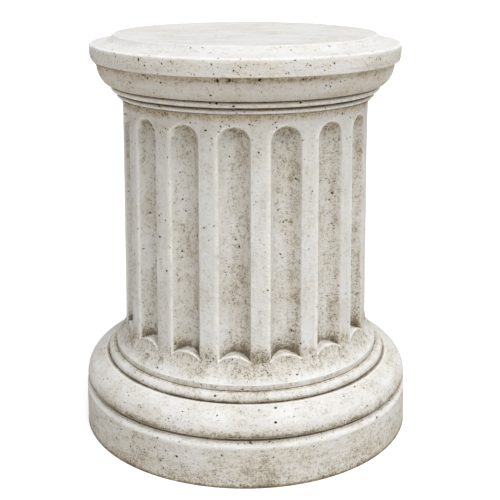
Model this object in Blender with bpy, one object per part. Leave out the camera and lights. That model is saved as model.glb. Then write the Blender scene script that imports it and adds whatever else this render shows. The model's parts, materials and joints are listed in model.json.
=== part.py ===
# Garden pedestal: a short fluted column cast in one piece, about knee high.
# All lengths are in metres, +Z is up, and the underside stands on the plane z = 0
# with the column's axis on the Z axis.

import math

import bmesh
import bpy
from mathutils import Matrix

# Driving dimensions. A projection is how far a moulding stands out from the one inside it
# or below it, a height is its own height alone, and an arris is the radius of a softened edge.

# Shaft: every other radius is stacked outwards from it
SHAFT_FOOT_RADIUS = 0.1327
SHAFT_HEAD_RADIUS = 0.1274
SHAFT_HEIGHT = 0.2296

# Flare and listel: the hollow curve at the shaft's foot and the thin upright band under it
FLARE_PROJECTION = 0.0115
FLARE_HEIGHT = 0.0270
FLARE_POWER = 2.2
LISTEL_HEIGHT = 0.0055

# Bead between the listel and the torus
BEAD_RADIUS = 0.0052
BEAD_PROJECTION = 0.0083
BEAD_GROOVE = 0.0012

# Torus: the large rounded base moulding, a quarter round with a short undercut
TORUS_ROUND = 0.0250
TORUS_UNDERCUT = 0.0045
TORUS_OVERHANG = 0.0030

# Plinth: the plain drum at the bottom, a little wider at its foot, with a rounded shoulder
PLINTH_HEIGHT = 0.0435
PLINTH_DRAFT = 0.0012
SHOULDER_WIDTH = 0.0043
SHOULDER_RISE = 0.0065

# Neck and the two small astragals above it
NECK_HEIGHT = 0.0090
NECK_PROJECTION = 0.0032
LOWER_ASTRAGAL_RADIUS = 0.0025
LOWER_ASTRAGAL_PROJECTION = 0.0046
UPPER_ASTRAGAL_RADIUS = 0.0036
UPPER_ASTRAGAL_PROJECTION = 0.0044
ASTRAGAL_GROOVE = 0.0010

# Ovolo and abacus: the rounded moulding and the round slab above it
OVOLO_HEIGHT = 0.0236
OVOLO_PROJECTION = 0.0145
ABACUS_HEIGHT = 0.0172
ABACUS_PROJECTION = 0.0060
ABACUS_LOWER_ARRIS = 0.0024
ABACUS_UPPER_ARRIS = 0.0015

# Top: a sloping ring, then a small cove that lifts the flat disc above it
RING_WIDTH = 0.0168
RING_RISE = 0.0040
DISC_COVE = 0.0055

# Flutes
FLUTE_COUNT = 16
FLUTE_TURN = math.radians(-4.6)
FLUTE_WIDTH = 0.0318
FLUTE_DEPTH = 0.0110
FLUTE_TOP_MARGIN = 0.0025
FLUTE_FOOT_DROP = 0.0075
SILL_RISE = 0.0064
SILL_SLOPE = math.radians(8.0)

# How far round its own centre each small moulding runs, in degrees up from straight out
ARRIS_END = 78
BEAD_START = -60
BEAD_END = 110
ASTRAGAL_START = -80
ASTRAGAL_END = 70

# Facets: steps in a full turn, and how far an arc's chords may stray from it
TURN_STEPS = 64
ARC_SAG = 0.00030
FLARE_STEPS = 5
FLUTE_STEPS = 22
SILL_STEPS = 28
MERGE_DISTANCE = 0.00001
SMOOTH_ANGLE = math.radians(30)

# Colour of the clean stone, as linear light
STONE_COLOUR = (0.62, 0.58, 0.51, 1.0)
STONE_ROUGHNESS = 0.9

# Heights, stacked from the ground up
SHOULDER_TOP = PLINTH_HEIGHT + SHOULDER_RISE
TORUS_WIDEST = SHOULDER_TOP + TORUS_UNDERCUT
TORUS_TOP = TORUS_WIDEST + TORUS_ROUND
BEAD_TOP = TORUS_TOP + 2 * BEAD_RADIUS - BEAD_GROOVE
FLARE_FOOT = BEAD_TOP + LISTEL_HEIGHT
SHAFT_FOOT = FLARE_FOOT + FLARE_HEIGHT
SHAFT_HEAD = SHAFT_FOOT + SHAFT_HEIGHT
NECK_TOP = SHAFT_HEAD + NECK_HEIGHT
LOWER_ASTRAGAL_TOP = NECK_TOP + 2 * LOWER_ASTRAGAL_RADIUS
UPPER_ASTRAGAL_TOP = LOWER_ASTRAGAL_TOP + 2 * UPPER_ASTRAGAL_RADIUS
OVOLO_TOP = UPPER_ASTRAGAL_TOP + OVOLO_HEIGHT
ABACUS_TOP = OVOLO_TOP + ABACUS_HEIGHT
PEDESTAL_TOP = ABACUS_TOP + RING_RISE + DISC_COVE

# Radii of the base, stacked outwards from the shaft's foot
FLARE_RADIUS = SHAFT_FOOT_RADIUS + FLARE_PROJECTION
TORUS_HEAD_RADIUS = FLARE_RADIUS + BEAD_PROJECTION
TORUS_RADIUS = TORUS_HEAD_RADIUS + TORUS_ROUND
TORUS_FOOT_RADIUS = TORUS_RADIUS - TORUS_OVERHANG
PLINTH_TOP_RADIUS = TORUS_FOOT_RADIUS + SHOULDER_WIDTH
PLINTH_RADIUS = PLINTH_TOP_RADIUS + PLINTH_DRAFT

# Radii of the capital, stacked outwards from the shaft's head
NECK_RADIUS = SHAFT_HEAD_RADIUS + NECK_PROJECTION
LOWER_ASTRAGAL_REACH = NECK_RADIUS + LOWER_ASTRAGAL_PROJECTION
UPPER_ASTRAGAL_REACH = LOWER_ASTRAGAL_REACH + UPPER_ASTRAGAL_PROJECTION
OVOLO_FOOT_RADIUS = UPPER_ASTRAGAL_REACH - ASTRAGAL_GROOVE
OVOLO_RADIUS = OVOLO_FOOT_RADIUS + OVOLO_PROJECTION
ABACUS_RADIUS = OVOLO_RADIUS + ABACUS_PROJECTION
DISC_RADIUS = ABACUS_RADIUS - ABACUS_UPPER_ARRIS - RING_WIDTH - DISC_COVE


def clear_scene():
    """Remove every object that the file starts with."""
    for thing in list(bpy.data.objects):
        bpy.data.objects.remove(thing, do_unlink=True)


def arc(centre_radius, centre_height, wide, high, start, end):
    """Points (radius, height) on an elliptic arc; angles are degrees from straight out."""
    first = math.radians(start)
    sweep = math.radians(end) - first
    chord_angle = 2 * math.acos(1 - ARC_SAG / max(wide, high))
    steps = max(2, round(abs(sweep) / chord_angle))
    angles = [first + sweep * step / steps for step in range(steps + 1)]
    return [(centre_radius + wide * math.cos(angle), centre_height + high * math.sin(angle))
            for angle in angles]


def plinth_profile():
    """The drum's side and the rounded shoulder that leads in under the torus."""
    shoulder = arc(TORUS_FOOT_RADIUS, PLINTH_HEIGHT, SHOULDER_WIDTH, SHOULDER_RISE, 0, 90)
    return [(PLINTH_RADIUS, 0.0)] + shoulder[:-1]


def torus_profile():
    """The undercut, then a quarter round up and inwards."""
    undercut = arc(TORUS_FOOT_RADIUS, TORUS_WIDEST, TORUS_OVERHANG, TORUS_UNDERCUT, -90, 0)
    shoulder = arc(TORUS_HEAD_RADIUS, TORUS_WIDEST, TORUS_ROUND, TORUS_ROUND, 0, 90)
    return undercut + shoulder[1:]


def bead_profile():
    """The half round between two grooves, just outside the listel."""
    centre_height = TORUS_TOP + BEAD_RADIUS - BEAD_GROOVE / 2
    centre_radius = TORUS_HEAD_RADIUS - BEAD_RADIUS
    return arc(centre_radius, centre_height, BEAD_RADIUS, BEAD_RADIUS, BEAD_START, BEAD_END)


def flare_profile():
    """The listel and the hollow curve that carries the shaft down onto it."""
    points = [(FLARE_RADIUS - BEAD_GROOVE / 2, BEAD_TOP), (FLARE_RADIUS, FLARE_FOOT)]
    for step in range(1, FLARE_STEPS + 1):
        part = step / FLARE_STEPS
        reach = FLARE_PROJECTION * (1 - part) ** FLARE_POWER
        points.append((SHAFT_FOOT_RADIUS + reach, FLARE_FOOT + FLARE_HEIGHT * part))
    return points


def neck_profile():
    """The shaft's head, spreading a little in a shallow hollow below the astragals."""
    return arc(NECK_RADIUS, SHAFT_HEAD, NECK_PROJECTION, NECK_HEIGHT, 180, 90)


def half_round(reach, foot, radius):
    """A small astragal whose outermost point is at reach and whose underside is at foot."""
    return arc(reach - radius, foot + radius, radius, radius, ASTRAGAL_START, ASTRAGAL_END)


def capital_profile():
    """The two astragals, the ovolo, then the slab with its two softened edges."""
    astragals = (half_round(LOWER_ASTRAGAL_REACH, NECK_TOP, LOWER_ASTRAGAL_RADIUS)
                 + half_round(UPPER_ASTRAGAL_REACH, LOWER_ASTRAGAL_TOP, UPPER_ASTRAGAL_RADIUS))
    ovolo = arc(OVOLO_FOOT_RADIUS, OVOLO_TOP, OVOLO_PROJECTION, OVOLO_HEIGHT, -90, 0)
    soffit = arc(ABACUS_RADIUS - ABACUS_LOWER_ARRIS, OVOLO_TOP + ABACUS_LOWER_ARRIS,
                 ABACUS_LOWER_ARRIS, ABACUS_LOWER_ARRIS, -ARRIS_END, 0)
    edge = arc(ABACUS_RADIUS - ABACUS_UPPER_ARRIS, ABACUS_TOP - ABACUS_UPPER_ARRIS,
               ABACUS_UPPER_ARRIS, ABACUS_UPPER_ARRIS, 0, ARRIS_END)
    return astragals + ovolo + soffit + edge


def top_profile():
    """The cove between the sloping ring and the flat disc, from its foot to the disc's rim."""
    return arc(DISC_RADIUS + DISC_COVE, PEDESTAL_TOP, DISC_COVE, DISC_COVE, 270, 180)


def pedestal_profile():
    """The whole outline, from the rim of the underside to the rim of the flat top."""
    return (plinth_profile() + torus_profile() + bead_profile() + flare_profile()
            + neck_profile() + capital_profile() + top_profile())


def turned_mesh(mesh, profile, steps):
    """Spin an outline (radius, height) about Z, close its two open rims and merge the seam."""
    points = [mesh.verts.new((radius, 0.0, height)) for radius, height in profile]
    edges = [mesh.edges.new(pair) for pair in zip(points, points[1:])]
    bmesh.ops.spin(mesh, geom=points + edges, cent=(0, 0, 0), axis=(0, 0, 1),
                   angle=math.tau, steps=steps, use_merge=True)
    bmesh.ops.remove_doubles(mesh, verts=mesh.verts, dist=MERGE_DISTANCE)
    open_edges = [edge for edge in mesh.edges if edge.is_boundary]
    bmesh.ops.holes_fill(mesh, edges=open_edges, sides=0)
    bmesh.ops.recalc_face_normals(mesh, faces=mesh.faces)


def new_object(name, mesh):
    """Turn a finished bmesh into an object in the scene."""
    data = bpy.data.meshes.new(name)
    mesh.to_mesh(data)
    mesh.free()
    thing = bpy.data.objects.new(name, data)
    bpy.context.scene.collection.objects.link(thing)
    return thing


def mark_as_cutter(thing):
    """Cutters show as wire and are no part of the pedestal."""
    thing.hide_render = True
    thing.display_type = "WIRE"


def shaft_radius(height):
    """Radius of the tapering shaft at a height."""
    part = (height - SHAFT_FOOT) / SHAFT_HEIGHT
    return SHAFT_FOOT_RADIUS + (SHAFT_HEAD_RADIUS - SHAFT_FOOT_RADIUS) * part


def flute_bore():
    """Radius of the round scoop that has the flute's width and depth."""
    half = FLUTE_WIDTH / 2
    return (half ** 2 + FLUTE_DEPTH ** 2) / (2 * FLUTE_DEPTH)


def flute_axis(height):
    """How far from the pedestal's axis the scoop's own axis runs at a height."""
    radius = shaft_radius(height)
    chord = math.sqrt(radius ** 2 - (FLUTE_WIDTH / 2) ** 2)
    return chord - FLUTE_DEPTH + flute_bore()


def sill_cutter():
    """The arched tongue of stone that is left standing at each flute's foot."""
    half = FLUTE_WIDTH / 2
    arch = (half ** 2 + SILL_RISE ** 2) / (2 * SILL_RISE)
    crown = SHAFT_FOOT - FLUTE_FOOT_DROP + SILL_RISE
    reach = 2 * FLUTE_WIDTH
    mesh = bmesh.new()
    bmesh.ops.create_cone(mesh, cap_ends=True, segments=SILL_STEPS, radius1=arch, radius2=arch,
                          depth=2 * reach)
    lie_down = Matrix.Rotation(math.radians(90) + SILL_SLOPE, 4, "X")
    to_crown = Matrix.Translation((0, -shaft_radius(crown), crown - arch))
    bmesh.ops.transform(mesh, matrix=to_crown @ lie_down, verts=mesh.verts)
    thing = new_object("flute_sill", mesh)
    mark_as_cutter(thing)
    return thing


def flute_cutter(sill):
    """One scoop: a leaning round bar with a ball top and the sill's arch cut from its foot."""
    bore = flute_bore()
    spring = SHAFT_HEAD - FLUTE_TOP_MARGIN - FLUTE_WIDTH / 2
    foot = SHAFT_FOOT - FLUTE_WIDTH
    dome = arc(0, spring - foot, bore, bore, 0, 90)
    mesh = bmesh.new()
    turned_mesh(mesh, [(0.0, 0.0), (bore, 0.0)] + dome, FLUTE_STEPS)
    lean = math.atan2(flute_axis(foot) - flute_axis(spring), spring - foot)
    place = Matrix.Translation((0, -flute_axis(foot), foot)) @ Matrix.Rotation(-lean, 4, "X")
    bmesh.ops.transform(mesh, matrix=place, verts=mesh.verts)
    thing = new_object("flute_scoop", mesh)
    cut = thing.modifiers.new("arched foot", "BOOLEAN")
    cut.operation = "DIFFERENCE"
    cut.object = sill
    mark_as_cutter(thing)
    return thing


def flute_ring(scoop):
    """The scoop repeated round the shaft, as one cutter."""
    bpy.context.view_layer.update()
    evaluated = scoop.evaluated_get(bpy.context.evaluated_depsgraph_get())
    mesh = bmesh.new()
    for index in range(FLUTE_COUNT):
        copy = bmesh.new()
        copy.from_mesh(evaluated.data)
        turn = Matrix.Rotation(FLUTE_TURN + math.tau * index / FLUTE_COUNT, 4, "Z")
        bmesh.ops.transform(copy, matrix=turn, verts=copy.verts)
        data = bpy.data.meshes.new("flute_copy")
        copy.to_mesh(data)
        copy.free()
        mesh.from_mesh(data)
        bpy.data.meshes.remove(data)
    thing = new_object("flute_ring", mesh)
    mark_as_cutter(thing)
    return thing


def stone_material():
    """Pale cast stone, matt all over."""
    material = bpy.data.materials.new("cast stone")
    material.use_nodes = True
    shader = material.node_tree.nodes["Principled BSDF"]
    shader.inputs["Base Color"].default_value = STONE_COLOUR
    shader.inputs["Roughness"].default_value = STONE_ROUGHNESS
    shader.inputs["Metallic"].default_value = 0.0
    return material


def pedestal(flutes):
    """The turned body with its flutes cut."""
    mesh = bmesh.new()
    turned_mesh(mesh, pedestal_profile(), TURN_STEPS)
    thing = new_object("pedestal", mesh)
    cut = thing.modifiers.new("flutes", "BOOLEAN")
    cut.operation = "DIFFERENCE"
    cut.object = flutes
    thing.data.materials.append(stone_material())
    thing.data.shade_smooth()
    thing.data.set_sharp_from_angle(angle=SMOOTH_ANGLE)
    return thing


clear_scene()
pedestal(flute_ring(flute_cutter(sill_cutter())))
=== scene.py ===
# %% [markdown]
# # A cast stone garden pedestal
# The object is a short fluted column, cast in one piece from limestone dust and white cement.
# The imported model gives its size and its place. This script models the weathered surface over
# it: sharper mouldings, softened flutes, casting pores and the dirt that collects in hollows.

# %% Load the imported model
import json
import math
import random

import bmesh
import bpy
import numpy as np
from mathutils import Matrix, Vector, noise
from mathutils.bvhtree import BVHTree

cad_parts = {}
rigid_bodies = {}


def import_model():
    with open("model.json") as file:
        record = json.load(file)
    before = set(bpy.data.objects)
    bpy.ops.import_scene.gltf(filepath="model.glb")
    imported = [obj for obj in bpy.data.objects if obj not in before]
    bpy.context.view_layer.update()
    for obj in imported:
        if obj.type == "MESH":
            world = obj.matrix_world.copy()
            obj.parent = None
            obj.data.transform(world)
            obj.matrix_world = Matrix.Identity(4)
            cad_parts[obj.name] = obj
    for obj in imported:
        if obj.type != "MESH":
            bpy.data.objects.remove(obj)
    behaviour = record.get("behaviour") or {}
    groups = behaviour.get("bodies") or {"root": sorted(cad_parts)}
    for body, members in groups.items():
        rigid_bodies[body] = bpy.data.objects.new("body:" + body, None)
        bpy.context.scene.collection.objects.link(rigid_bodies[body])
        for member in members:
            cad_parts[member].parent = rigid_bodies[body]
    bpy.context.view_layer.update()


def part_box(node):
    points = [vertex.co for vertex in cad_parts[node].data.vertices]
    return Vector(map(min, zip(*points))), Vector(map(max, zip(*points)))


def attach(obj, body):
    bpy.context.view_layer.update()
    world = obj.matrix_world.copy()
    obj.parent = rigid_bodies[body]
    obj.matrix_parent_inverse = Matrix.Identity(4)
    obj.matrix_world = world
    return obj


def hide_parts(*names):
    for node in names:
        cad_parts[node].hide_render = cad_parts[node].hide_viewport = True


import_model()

MM = 0.001
cad_low, cad_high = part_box("pedestal")
print("CAD box in mm:", [round(side / MM, 1) for side in Vector(cad_high) - Vector(cad_low)])

# %% [markdown]
# ## The sizes
# Everything below is in millimetres until the mesh is made. The mouldings are stacked from the
# ground up and outwards from the shaft, the way a turner marks out a pattern, so each size is
# written once and the rest follows.

# %% Sizes of the mouldings
SHAFT_FOOT_RADIUS = 132.7
SHAFT_HEAD_RADIUS = 127.4
SHAFT_HEIGHT = 229.6
FLARE_PROJECTION = 11.5
FLARE_HEIGHT = 27.0
FLARE_POWER = 2.2
LISTEL_HEIGHT = 5.5
BEAD_RADIUS = 5.2
BEAD_PROJECTION = 8.3
BEAD_GROOVE = 1.2
TORUS_ROUND = 25.0
TORUS_UNDERCUT = 4.5
TORUS_OVERHANG = 3.0
PLINTH_HEIGHT = 43.5
PLINTH_DRAFT = 1.2
SHOULDER_WIDTH = 4.3
SHOULDER_RISE = 6.5
NECK_HEIGHT = 9.0
NECK_PROJECTION = 3.2
LOWER_ASTRAGAL_RADIUS = 2.5
LOWER_ASTRAGAL_PROJECTION = 3.0
UPPER_ASTRAGAL_RADIUS = 3.6
UPPER_ASTRAGAL_PROJECTION = 5.5
ASTRAGAL_GROOVE = 0.5
OVOLO_HEIGHT = 23.6
OVOLO_PROJECTION = 14.5
ABACUS_HEIGHT = 17.2
ABACUS_PROJECTION = 6.0
ABACUS_UPPER_ARRIS = 1.5
RING_WIDTH = 16.8
RING_RISE = 4.0
DISC_COVE = 5.5

# %% Heights and radii that follow from them
SHOULDER_TOP = PLINTH_HEIGHT + SHOULDER_RISE
TORUS_WIDEST = SHOULDER_TOP + TORUS_UNDERCUT
TORUS_TOP = TORUS_WIDEST + TORUS_ROUND
BEAD_TOP = TORUS_TOP + 2 * BEAD_RADIUS - BEAD_GROOVE
FLARE_FOOT = BEAD_TOP + LISTEL_HEIGHT
SHAFT_FOOT = FLARE_FOOT + FLARE_HEIGHT
SHAFT_HEAD = SHAFT_FOOT + SHAFT_HEIGHT
NECK_TOP = SHAFT_HEAD + NECK_HEIGHT
LOWER_ASTRAGAL_TOP = NECK_TOP + 2 * LOWER_ASTRAGAL_RADIUS
UPPER_ASTRAGAL_TOP = LOWER_ASTRAGAL_TOP + 2 * UPPER_ASTRAGAL_RADIUS
OVOLO_TOP = UPPER_ASTRAGAL_TOP + OVOLO_HEIGHT
ABACUS_TOP = OVOLO_TOP + ABACUS_HEIGHT
PEDESTAL_TOP = ABACUS_TOP + RING_RISE + DISC_COVE

FLARE_RADIUS = SHAFT_FOOT_RADIUS + FLARE_PROJECTION
TORUS_HEAD_RADIUS = FLARE_RADIUS + BEAD_PROJECTION
TORUS_RADIUS = TORUS_HEAD_RADIUS + TORUS_ROUND
TORUS_FOOT_RADIUS = TORUS_RADIUS - TORUS_OVERHANG
PLINTH_TOP_RADIUS = TORUS_FOOT_RADIUS + SHOULDER_WIDTH
PLINTH_RADIUS = PLINTH_TOP_RADIUS + PLINTH_DRAFT
NECK_RADIUS = SHAFT_HEAD_RADIUS + NECK_PROJECTION
LOWER_ASTRAGAL_REACH = NECK_RADIUS + LOWER_ASTRAGAL_PROJECTION
UPPER_ASTRAGAL_REACH = LOWER_ASTRAGAL_REACH + UPPER_ASTRAGAL_PROJECTION
OVOLO_FOOT_RADIUS = UPPER_ASTRAGAL_REACH - ASTRAGAL_GROOVE
OVOLO_RADIUS = OVOLO_FOOT_RADIUS + OVOLO_PROJECTION
ABACUS_RADIUS = OVOLO_RADIUS + ABACUS_PROJECTION
DISC_RADIUS = ABACUS_RADIUS - ABACUS_UPPER_ARRIS - RING_WIDTH - DISC_COVE
print("stacked height", round(PEDESTAL_TOP, 1), "and widest radius", round(PLINTH_RADIUS, 1))

# %% [markdown]
# ## The outline
# The pattern for such a mould is turned, so one outline spun round the axis gives every
# moulding. Rounds are arcs, straight stretches only get the points that later steps need, and
# each joint between two mouldings is a small rounded channel, cut deeper than the solid model
# has it, because those dark lines are what the eye reads first.

# %% Tools for the outline
ARC_SAG = 0.035
BASE_ARRIS = 0.9
CHANNEL_STEPS = 6


def arc(centre_radius, centre_height, wide, high, start, end):
    """Points (radius, height) on an elliptic arc; angles are degrees from straight out."""
    first = math.radians(start)
    sweep = math.radians(end) - first
    chord_angle = 2 * math.acos(1 - ARC_SAG / max(wide, high))
    steps = max(2, round(abs(sweep) / chord_angle))
    angles = [first + sweep * step / steps for step in range(steps + 1)]
    return [(centre_radius + wide * math.cos(angle), centre_height + high * math.sin(angle))
            for angle in angles]


def run(start, end, spacing):
    """Evenly spaced points from start to end, without the end itself."""
    length = math.dist(start, end)
    steps = max(1, round(length / spacing))
    return [(start[0] + (end[0] - start[0]) * step / steps,
             start[1] + (end[1] - start[1]) * step / steps) for step in range(steps)]


def channel(lower, upper, depth):
    """Points of a rounded channel that runs inwards between two lips."""
    points = []
    for step in range(1, CHANNEL_STEPS):
        angle = math.pi * step / CHANNEL_STEPS
        share = (1 - math.cos(angle)) / 2
        points.append((lower[0] + (upper[0] - lower[0]) * share - depth * math.sin(angle),
                       lower[1] + (upper[1] - lower[1]) * share))
    return points


def chain_curves(curves, depths):
    """Join curves into one outline, with a channel of the given depth at each joint."""
    points = list(curves[0])
    for curve, depth in zip(curves[1:], depths):
        points += channel(points[-1], curve[0], depth) + curve
    return points


# %% The base: plinth, torus, bead and listel
SIDE_SPACING = 3.6
CHAMFER_OUT = 3.8
CHAMFER_DROP = 4.4
CHAMFER_ARRIS = 0.8
TORUS_CHANNEL = 1.7
BEAD_CHANNEL = 0.8
LISTEL_CHANNEL = 2.2
CHAMFER_SPACING = 1.3
CHAMFER_GAP = 0.4
GAP_OUT = 0.3
LIP = 0.1
WORN_BEAD_RADIUS = 5.9
WORN_BEAD_SINK = 3.5
UNDERCUT_START = -16
TORUS_END = 82
BEAD_ARC = (-45, 98)


def base_outline():
    foot = arc(PLINTH_RADIUS - BASE_ARRIS, BASE_ARRIS, BASE_ARRIS, BASE_ARRIS, -90, 0)
    chamfer_top = (TORUS_FOOT_RADIUS + GAP_OUT, SHOULDER_TOP - CHAMFER_GAP)
    chamfer_foot = (chamfer_top[0] + CHAMFER_OUT, chamfer_top[1] - CHAMFER_DROP)
    side_top = (chamfer_foot[0] + LIP, chamfer_foot[1] - CHAMFER_ARRIS)
    side = run((PLINTH_RADIUS, BASE_ARRIS), side_top, SIDE_SPACING)
    shoulder = arc(side_top[0] - CHAMFER_ARRIS, side_top[1], CHAMFER_ARRIS, CHAMFER_ARRIS, 0, 50)
    shoulder += run(chamfer_foot, chamfer_top, CHAMFER_SPACING)[1:] + [chamfer_top]
    undercut = arc(TORUS_FOOT_RADIUS, TORUS_WIDEST, TORUS_OVERHANG, TORUS_UNDERCUT,
                   UNDERCUT_START, 0)
    round_top = arc(TORUS_HEAD_RADIUS, TORUS_WIDEST, TORUS_ROUND, TORUS_ROUND, 0, TORUS_END)
    bead = arc(TORUS_HEAD_RADIUS - BEAD_RADIUS - LIP, TORUS_TOP + WORN_BEAD_RADIUS - WORN_BEAD_SINK,
               WORN_BEAD_RADIUS, WORN_BEAD_RADIUS, *BEAD_ARC)
    listel = [(FLARE_RADIUS, BEAD_TOP - 0.6), (FLARE_RADIUS + 0.1, BEAD_TOP + 1.8),
              (FLARE_RADIUS, FLARE_FOOT - 0.7)]
    lower = foot + side[1:] + shoulder
    upper = undercut + round_top[1:]
    return chain_curves([lower, upper, bead, listel],
                        [TORUS_CHANNEL, BEAD_CHANNEL, LISTEL_CHANNEL])


print("base outline has", len(base_outline()), "points")

# %% [markdown]
# ## The shaft's rows
# The rows of the shaft aren't spread evenly. They crowd together where a flute begins and ends,
# because the arched sill at the foot and the round head need them there, and they are far
# apart in between, where nothing changes.

# %% Shaft radius and rows
FLUTE_FOOT_DROP = 9.0
FLUTE_TOP_MARGIN = 2.9
FLUTE_WIDTH = 31.8
FLUTE_COUNT = 16
HALF_FLUTE_TURN = math.asin(FLUTE_WIDTH / 2 / ((SHAFT_FOOT_RADIUS + SHAFT_HEAD_RADIUS) / 2))
HALF_BAY_TURN = math.pi / FLUTE_COUNT
SILL_ROWS = 9
SILL_ROW_GAP = 0.24
SILL_FOOT = SHAFT_FOOT - FLUTE_FOOT_DROP
SILL_TOP = SILL_FOOT + SILL_ROWS * SILL_ROW_GAP
LAST_ROW = NECK_TOP - 1.8
HEAD_HALF_WIDTH = SHAFT_HEAD_RADIUS * HALF_FLUTE_TURN
FLUTE_HEAD = SHAFT_HEAD - FLUTE_TOP_MARGIN
SPRING = FLUTE_HEAD - HEAD_HALF_WIDTH


def shaft_surface(height):
    """Radius of the plain turned shaft, flare and neck included, at a height."""
    if height < SHAFT_FOOT:
        part = max(0.0, height - FLARE_FOOT) / FLARE_HEIGHT
        return SHAFT_FOOT_RADIUS + FLARE_PROJECTION * (1 - part) ** FLARE_POWER
    if height < SHAFT_HEAD:
        part = (height - SHAFT_FOOT) / SHAFT_HEIGHT
        return SHAFT_FOOT_RADIUS + (SHAFT_HEAD_RADIUS - SHAFT_FOOT_RADIUS) * part
    part = min(1.0, (height - SHAFT_HEAD) / NECK_HEIGHT)
    return SHAFT_HEAD_RADIUS + NECK_PROJECTION * (1 - math.sqrt(1 - part ** 2))


def spaced(start, end, spacing):
    """Heights from start up to end, without the end, about spacing apart."""
    steps = max(1, round((end - start) / spacing))
    return [start + (end - start) * step / steps for step in range(steps)]


FLARE_ROWS = (0.1, 0.8)
FLARE_START = 1.8
UNDER_SILL = 1.3
OVER_SILL = (0.7, 1.7, 3.0, 4.7, 6.9, 9.7, 13.0)
SHAFT_START = 17.0
UNDER_HEAD = 2.4
AT_HEAD = (-1.0, 0.0, 1.1)
OVER_HEAD = 2.6
FLARE_SPACING, SHAFT_SPACING, HEAD_SPACING, NECK_SPACING = 1.9, 4.6, 1.7, 1.8


def shaft_outline():
    heights = [FLARE_FOOT + step for step in FLARE_ROWS]
    heights += spaced(FLARE_FOOT + FLARE_START, SILL_FOOT - UNDER_SILL, FLARE_SPACING)
    heights += [SILL_FOOT - UNDER_SILL]
    heights += [SILL_FOOT + SILL_ROW_GAP * row for row in range(SILL_ROWS + 1)]
    heights += [SILL_TOP + step for step in OVER_SILL]
    heights += spaced(SILL_TOP + SHAFT_START, SPRING, SHAFT_SPACING)
    heights += spaced(SPRING, FLUTE_HEAD - UNDER_HEAD, HEAD_SPACING)
    heights += [FLUTE_HEAD - UNDER_HEAD]
    heights += [FLUTE_HEAD + step for step in AT_HEAD]
    heights += spaced(FLUTE_HEAD + OVER_HEAD, LAST_ROW, NECK_SPACING)
    heights += [LAST_ROW]
    return [(shaft_surface(height), height) for height in heights]


print("shaft has", len(shaft_outline()), "rows")

# %% The capital
CAPITAL_SPACING = 3.0
OVERHANG_ARRIS = 0.9
UPPER_EDGE_ARRIS = 1.5
UPPER_EDGE_LIFT = 0.7
LOWER_ASTRAGAL_SHRINK = 0.92
UPPER_ASTRAGAL_SHRINK = 0.82
ASTRAGAL_LIFT = 0.3
ASTRAGAL_ARC = 62
OVOLO_LIFT = 0.7
OVOLO_ARC = (-84, -3)
SLAB_GAP = 0.5
SOFFIT_START = -86
EDGE_END = 76
NECK_STEP = (0.3, -0.9)
CAPITAL_CHANNELS = (1.0, 2.2, 1.9, 0.3)


def half_round(reach, foot, radius):
    return arc(reach - radius, foot + radius, radius, radius, -ASTRAGAL_ARC, ASTRAGAL_ARC)


def capital_outline():
    lower_radius = LOWER_ASTRAGAL_RADIUS * LOWER_ASTRAGAL_SHRINK
    lower = half_round(LOWER_ASTRAGAL_REACH, NECK_TOP + ASTRAGAL_LIFT, lower_radius)
    upper_radius = UPPER_ASTRAGAL_RADIUS * UPPER_ASTRAGAL_SHRINK
    upper_foot = UPPER_ASTRAGAL_TOP + ASTRAGAL_LIFT - 2 * upper_radius
    upper = half_round(UPPER_ASTRAGAL_REACH, upper_foot, upper_radius)
    ovolo = arc(OVOLO_FOOT_RADIUS, OVOLO_TOP + OVOLO_LIFT, OVOLO_PROJECTION, OVOLO_HEIGHT,
                *OVOLO_ARC)
    slab_foot = OVOLO_TOP + OVOLO_LIFT + SLAB_GAP
    soffit = arc(ABACUS_RADIUS - OVERHANG_ARRIS, slab_foot + OVERHANG_ARRIS, OVERHANG_ARRIS,
                 OVERHANG_ARRIS, SOFFIT_START, 0)
    edge_centre = ABACUS_TOP + UPPER_EDGE_LIFT - UPPER_EDGE_ARRIS
    side = run(soffit[-1], (ABACUS_RADIUS, edge_centre), CAPITAL_SPACING)
    edge = arc(ABACUS_RADIUS - UPPER_EDGE_ARRIS, edge_centre, UPPER_EDGE_ARRIS, UPPER_EDGE_ARRIS,
               0, EDGE_END)
    neck_step = [(NECK_RADIUS + NECK_STEP[0], NECK_TOP + NECK_STEP[1])]
    return chain_curves([neck_step, lower, upper, ovolo, soffit + side[1:] + edge],
                        CAPITAL_CHANNELS)


# %% The top: a gently sloping ring and a raised disc with a sloping edge
DISC_ARRIS = 0.4
DISC_EDGE_IN = 0.3
COVE_HOLLOW = 0.5
COVE_STEPS = 6
# Rings of points on the flat disc, close together at its edge, where the shading turns.
DISC_RINGS = (134.2, 132.8, 130.5, 127.0, 121.0, 113.0, 103.0, 91.0, 77.0, 61.0, 44.0, 27.0,
              11.0, 0.0)


def top_outline():
    ring_outer = (ABACUS_RADIUS - UPPER_EDGE_ARRIS, ABACUS_TOP + UPPER_EDGE_LIFT)
    ring_inner = (DISC_RADIUS + DISC_COVE, PEDESTAL_TOP - DISC_COVE)
    disc_edge = (DISC_RADIUS - DISC_EDGE_IN, PEDESTAL_TOP - DISC_ARRIS)
    ring = run(ring_outer, ring_inner, CAPITAL_SPACING)
    slope = []
    for step in range(COVE_STEPS + 1):
        share = step / COVE_STEPS
        hollow_in = COVE_HOLLOW * math.sin(math.pi * share)
        slope.append((ring_inner[0] + (disc_edge[0] - ring_inner[0]) * share - hollow_in,
                      ring_inner[1] + (disc_edge[1] - ring_inner[1]) * share))
    return ring[1:] + slope + [(radius, PEDESTAL_TOP) for radius in DISC_RINGS]


outline = base_outline() + shaft_outline() + capital_outline() + top_outline()
print("whole outline:", len(outline), "points")

# %% [markdown]
# ## The turned body
# Spin the outline once round the axis. The steps are even, so the columns are pulled sideways
# afterwards: within each of the sixteen bays they close up at the two edges of the flute.

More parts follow.
